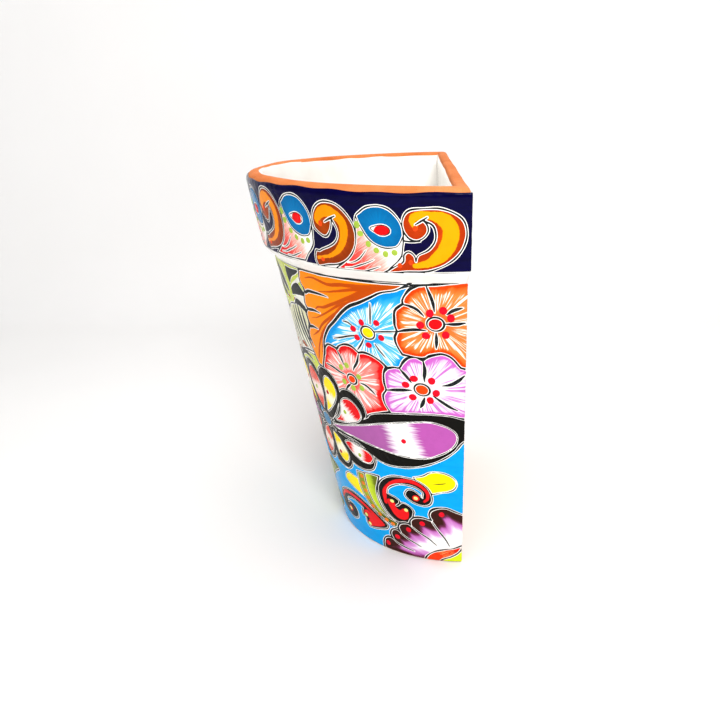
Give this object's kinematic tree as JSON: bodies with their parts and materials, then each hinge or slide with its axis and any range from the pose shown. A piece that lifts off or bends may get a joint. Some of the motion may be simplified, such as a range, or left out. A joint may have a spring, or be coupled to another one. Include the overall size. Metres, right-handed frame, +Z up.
{
  "type": "half-round wall planter",
  "caption": "Flat-backed half-cone pot with a thick rim band, open top and a hanging hole in its back; stands on a table or hangs on a wall to hold plants or flowers.",
  "frame": {"origin": "centre of the bounding box's bottom face, on the surface the pot stands on", "axes": "+Z up, +Y out of the flat back towards the wall, X across the width; the painted front bulges towards -Y"},
  "size_m": [0.334, 0.167, 0.305],
  "materials": {
    "terracotta": "bare fired clay",
    "cobalt_glaze": "gloss",
    "white_glaze": "gloss",
    "painted_glaze": "gloss"
  },
  "bodies": {
    "root": {"back_slab": "terracotta", "front_wall": "terracotta", "floor_slab": "terracotta", "rim_collar": "terracotta", "rim_glaze": "cobalt_glaze", "band_glaze": "white_glaze", "body_glaze": "painted_glaze", "inside_glaze": "white_glaze"}
  },
  "joints": []
}
